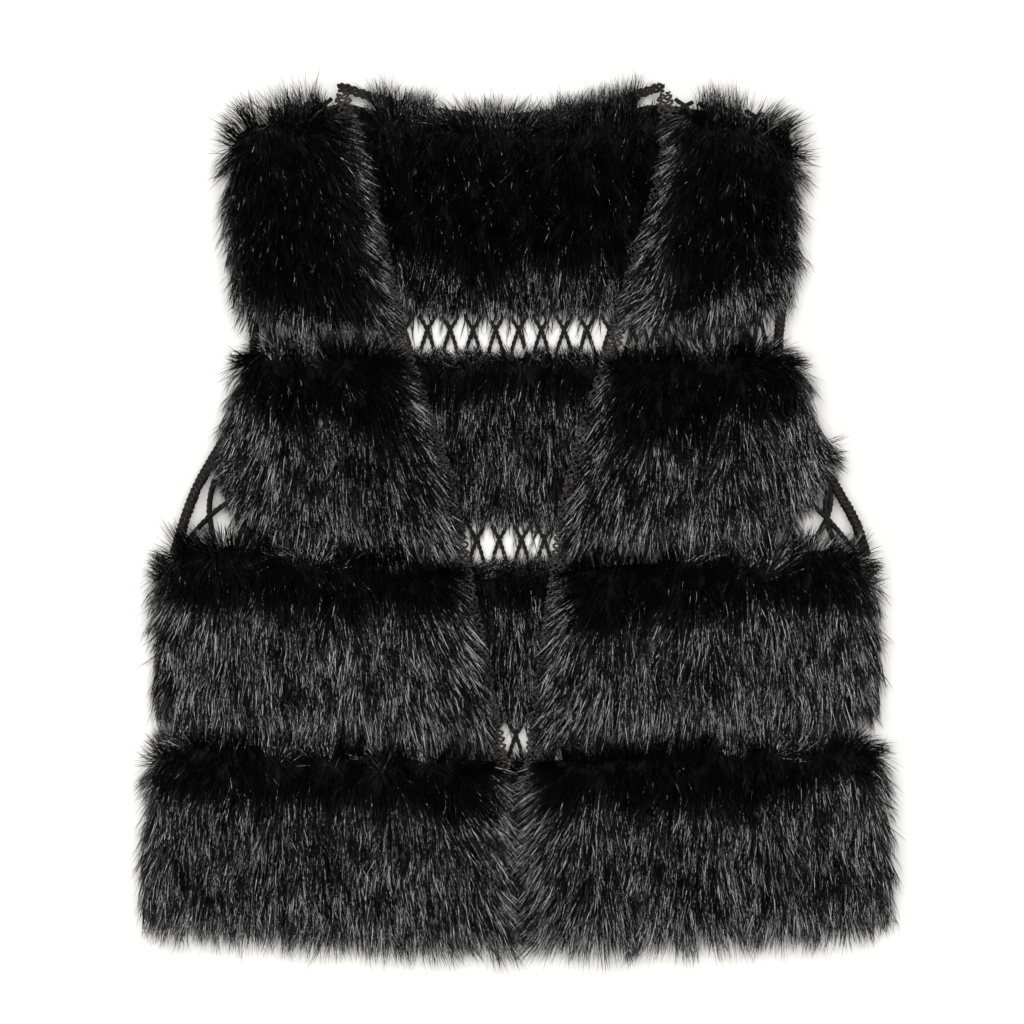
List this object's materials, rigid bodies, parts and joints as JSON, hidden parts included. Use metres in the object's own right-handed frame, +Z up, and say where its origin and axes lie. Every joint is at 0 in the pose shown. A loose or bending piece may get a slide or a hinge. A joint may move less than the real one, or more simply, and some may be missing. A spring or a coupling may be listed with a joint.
{
  "type": "fur vest",
  "caption": "Open-front sleeveless vest of long black fur bands joined by crocheted lattice, with crocheted edging, laid flat with its fronts on its back.",
  "frame": {"origin": "on the surface the vest lies on, under the middle of its bounding box", "axes": "+X to the viewer's right across the vest, +Y up the vest from the hem to the neck, +Z up from the surface through back and fronts"},
  "size_m": [0.5298, 0.6108, 0.0423],
  "materials": {
    "fur": "long glossy pile",
    "crochet": "matt yarn"
  },
  "bodies": {
    "root": {"back_band_1": "fur", "back_band_2": "fur", "back_band_3": "fur", "back_band_4": "fur", "front_left_band_1": "fur", "front_left_band_2": "fur", "front_left_band_3": "fur", "front_left_band_4": "fur", "front_right_band_1": "fur", "front_right_band_2": "fur", "front_right_band_3": "fur", "front_right_band_4": "fur", "back_lattice_1": "crochet", "back_lattice_2": "crochet", "back_lattice_3": "crochet", "front_left_lattice_1": "crochet", "front_left_lattice_2": "crochet", "front_left_lattice_3": "crochet", "front_right_lattice_1": "crochet", "front_right_lattice_2": "crochet", "front_right_lattice_3": "crochet", "shoulder_lattice_left": "crochet", "shoulder_lattice_right": "crochet", "front_edging_left": "crochet", "front_edging_right": "crochet", "neck_edging": "crochet", "armhole_edging_front_left": "crochet", "armhole_edging_front_right": "crochet", "armhole_edging_back_left": "crochet", "armhole_edging_back_right": "crochet"}
  },
  "joints": []
}
